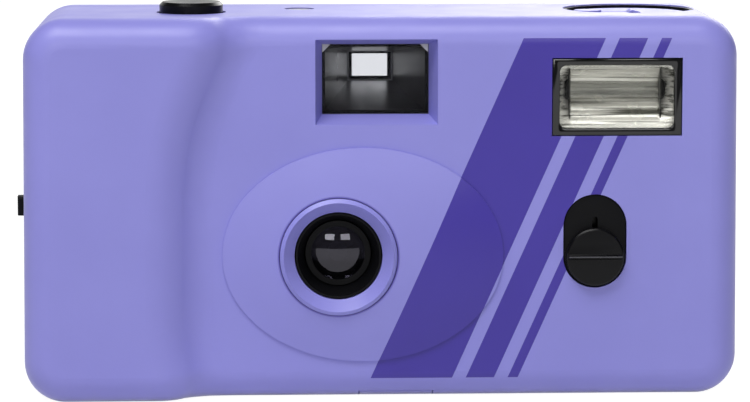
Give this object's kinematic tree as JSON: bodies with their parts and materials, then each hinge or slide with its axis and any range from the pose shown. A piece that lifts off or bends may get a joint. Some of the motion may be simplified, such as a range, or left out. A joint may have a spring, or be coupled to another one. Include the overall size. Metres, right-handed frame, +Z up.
{
  "type": "compact film camera",
  "caption": "Compact 35 mm snapshot camera with a grip, fixed lens, finder, built-in flash, shutter button, thumb-wheel advance, rewind crank and hinged back.",
  "frame": {"origin": "middle of the flat bottom face, on the plane the camera stands on", "axes": "+X to the right as one looks at the lens, +Y away from the viewer to the film door, +Z up"},
  "size_m": [0.1167, 0.0385, 0.0627],
  "materials": {
    "body_plastic": "satin moulded lavender plastic",
    "black_plastic": "fine matt black plastic",
    "black_gloss": "smooth black plastic",
    "chassis_plastic": "flat black plastic against stray light",
    "clear_plastic": "clear moulded acrylic",
    "lens_glass": "polished optical glass",
    "window_violet": "tinted clear plastic",
    "flash_lens": "ribbed clear acrylic",
    "reflector_metal": "bright aluminised sheet",
    "tube_glass": "clear glass tube",
    "spring_steel": "bright spring steel",
    "screw_steel": "zinc-plated steel",
    "contact_metal": "nickel-plated contact strip",
    "pressure_metal": "black enamelled sheet steel",
    "seal_foam": "soft black foam",
    "board_green": "solder-masked board",
    "capacitor_sleeve": "shrunk plastic sleeve",
    "coil_tape": "yellow winding tape",
    "battery_jacket": "plain printed steel jacket",
    "lamp_orange": "tinted lamp cap",
    "dial_white": "white moulded plastic",
    "white_plastic": "natural acetal"
  },
  "bodies": {
    "housing": {"front_shell": "body_plastic", "rear_cover": "body_plastic", "main_body": "chassis_plastic", "door_hinge_pin": "spring_steel", "battery_door_pin": "spring_steel", "body_screws": "screw_steel", "crank_well": "black_plastic", "counter_window": "window_violet", "finder_front_lens": "clear_plastic", "finder_tunnel": "chassis_plastic", "finder_eyepiece": "clear_plastic", "ready_lamp": "lamp_orange", "flash_frame": "black_gloss", "flash_window": "flash_lens", "flash_reflector": "reflector_metal", "flash_tube": "tube_glass", "flash_board": "board_green", "flash_capacitor": "capacitor_sleeve", "flash_transformer": "coil_tape", "switch_base": "black_plastic", "lens_ring": "body_plastic", "lens_cone": "black_plastic", "lens_barrel": "black_gloss", "lens_front": "lens_glass", "lens_rear": "lens_glass", "shutter_plate": "chassis_plastic", "blade_spring": "spring_steel", "button_spring": "spring_steel", "battery": "battery_jacket", "battery_spring": "contact_metal", "battery_contact": "contact_metal"},
    "film_door_group": {"film_door": "body_plastic", "latch_base": "black_plastic", "film_window": "clear_plastic", "door_seal": "seal_foam", "pressure_spring": "spring_steel"},
    "door_latch_group": {"door_latch": "black_plastic"},
    "pressure_plate_group": {"pressure_plate": "pressure_metal"},
    "battery_door_group": {"battery_door": "body_plastic"},
    "shutter_button_group": {"shutter_button": "black_gloss"},
    "release_lever_group": {"release_lever": "white_plastic"},
    "shutter_blade_group": {"shutter_blade": "pressure_metal"},
    "flash_switch_group": {"flash_switch": "black_gloss"},
    "rewind_crank_group": {"rewind_crank": "body_plastic", "crank_pin": "spring_steel"},
    "crank_handle_group": {"crank_handle": "body_plastic"},
    "take_up_group": {"take_up_spool": "chassis_plastic", "advance_wheel": "black_plastic"},
    "sprocket_group": {"sprocket": "white_plastic"},
    "counter_dial_group": {"counter_dial": "dial_white"},
    "advance_pawl_group": {"advance_pawl": "white_plastic"},
    "rewind_release_group": {"rewind_release": "black_plastic"}
  },
  "joints": [
    {"name": "shutter_release", "type": "slide", "parent": "housing", "child": "shutter_button_group", "axis": [0, 0, -1], "range_m": [0, 0.0014], "stiffness_N_per_m": 600, "deforming": ["button_spring"]},
    {"name": "release_lever_pivot", "type": "hinge", "parent": "housing", "child": "release_lever_group", "pos_m": [-0.024, -0.0038, 0.038], "axis": [0, -1, 0], "range_deg": [0, 12.6]},
    {"name": "shutter_blade_pivot", "type": "hinge", "parent": "housing", "child": "shutter_blade_group", "pos_m": [-0.0161, -0.0068, 0.0272], "axis": [0, 1, 0], "range_deg": [0, 40], "stiffness_Nm_per_rad": 0.002},
    {"name": "flash_switch_slide", "type": "slide", "parent": "housing", "child": "flash_switch_group", "axis": [0, 0, 1], "range_m": [0, 0.0049]},
    {"name": "rewind_crank_turn", "type": "hinge", "parent": "housing", "child": "rewind_crank_group", "pos_m": [0.0408, 0.0029, 0.0595], "axis": [0, 0, 1], "continuous": true},
    {"name": "crank_handle_fold", "type": "hinge", "parent": "rewind_crank_group", "child": "crank_handle_group", "pos_m": [0.0414, 0.0029, 0.05995], "axis": [0, 1, 0], "range_deg": [0, 130]},
    {"name": "film_door_hinge", "type": "hinge", "parent": "housing", "child": "film_door_group", "pos_m": [0.0552, 0.0097, 0.02425], "axis": [0, 0, -1], "range_deg": [0, 95]},
    {"name": "door_latch_slide", "type": "slide", "parent": "film_door_group", "child": "door_latch_group", "axis": [0, 0, -1], "range_m": [0, 0.0027], "stiffness_N_per_m": 400},
    {"name": "pressure_plate_slide", "type": "slide", "parent": "film_door_group", "child": "pressure_plate_group", "axis": [0, 1, 0], "range_m": [0, 0.0008], "stiffness_N_per_m": 500},
    {"name": "battery_door_hinge", "type": "hinge", "parent": "housing", "child": "battery_door_group", "pos_m": [-0.003, -0.0009, 0.0009], "axis": [1, 0, 0], "range_deg": [0, 95]},
    {"name": "advance_turn", "type": "hinge", "parent": "housing", "child": "take_up_group", "pos_m": [-0.0431, 0.0058, 0.03], "axis": [0, 0, 1], "continuous": true},
    {"name": "sprocket_turn", "type": "hinge", "parent": "housing", "child": "sprocket_group", "pos_m": [-0.0295, 0.00745, 0.03], "axis": [0, 0, 1], "continuous": true},
    {"name": "counter_dial_turn", "type": "hinge", "parent": "housing", "child": "counter_dial_group", "pos_m": [-0.019, 0, 0.056], "axis": [0, 0, 1], "continuous": true},
    {"name": "advance_pawl_pivot", "type": "hinge", "parent": "housing", "child": "advance_pawl_group", "pos_m": [-0.036, -0.0012, 0.0492], "axis": [0, 0, -1], "range_deg": [0, 12], "stiffness_Nm_per_rad": 0.002},
    {"name": "rewind_release_slide", "type": "slide", "parent": "housing", "child": "rewind_release_group", "axis": [0, 0, 1], "range_m": [0, 0.0014], "stiffness_N_per_m": 300}
  ],
  "couplings": [
    {"joint": "release_lever_pivot", "follows": "shutter_release", "rad_per_m": 156},
    {"joint": "counter_dial_turn", "follows": "sprocket_turn", "ratio": -0.027778}
  ]
}
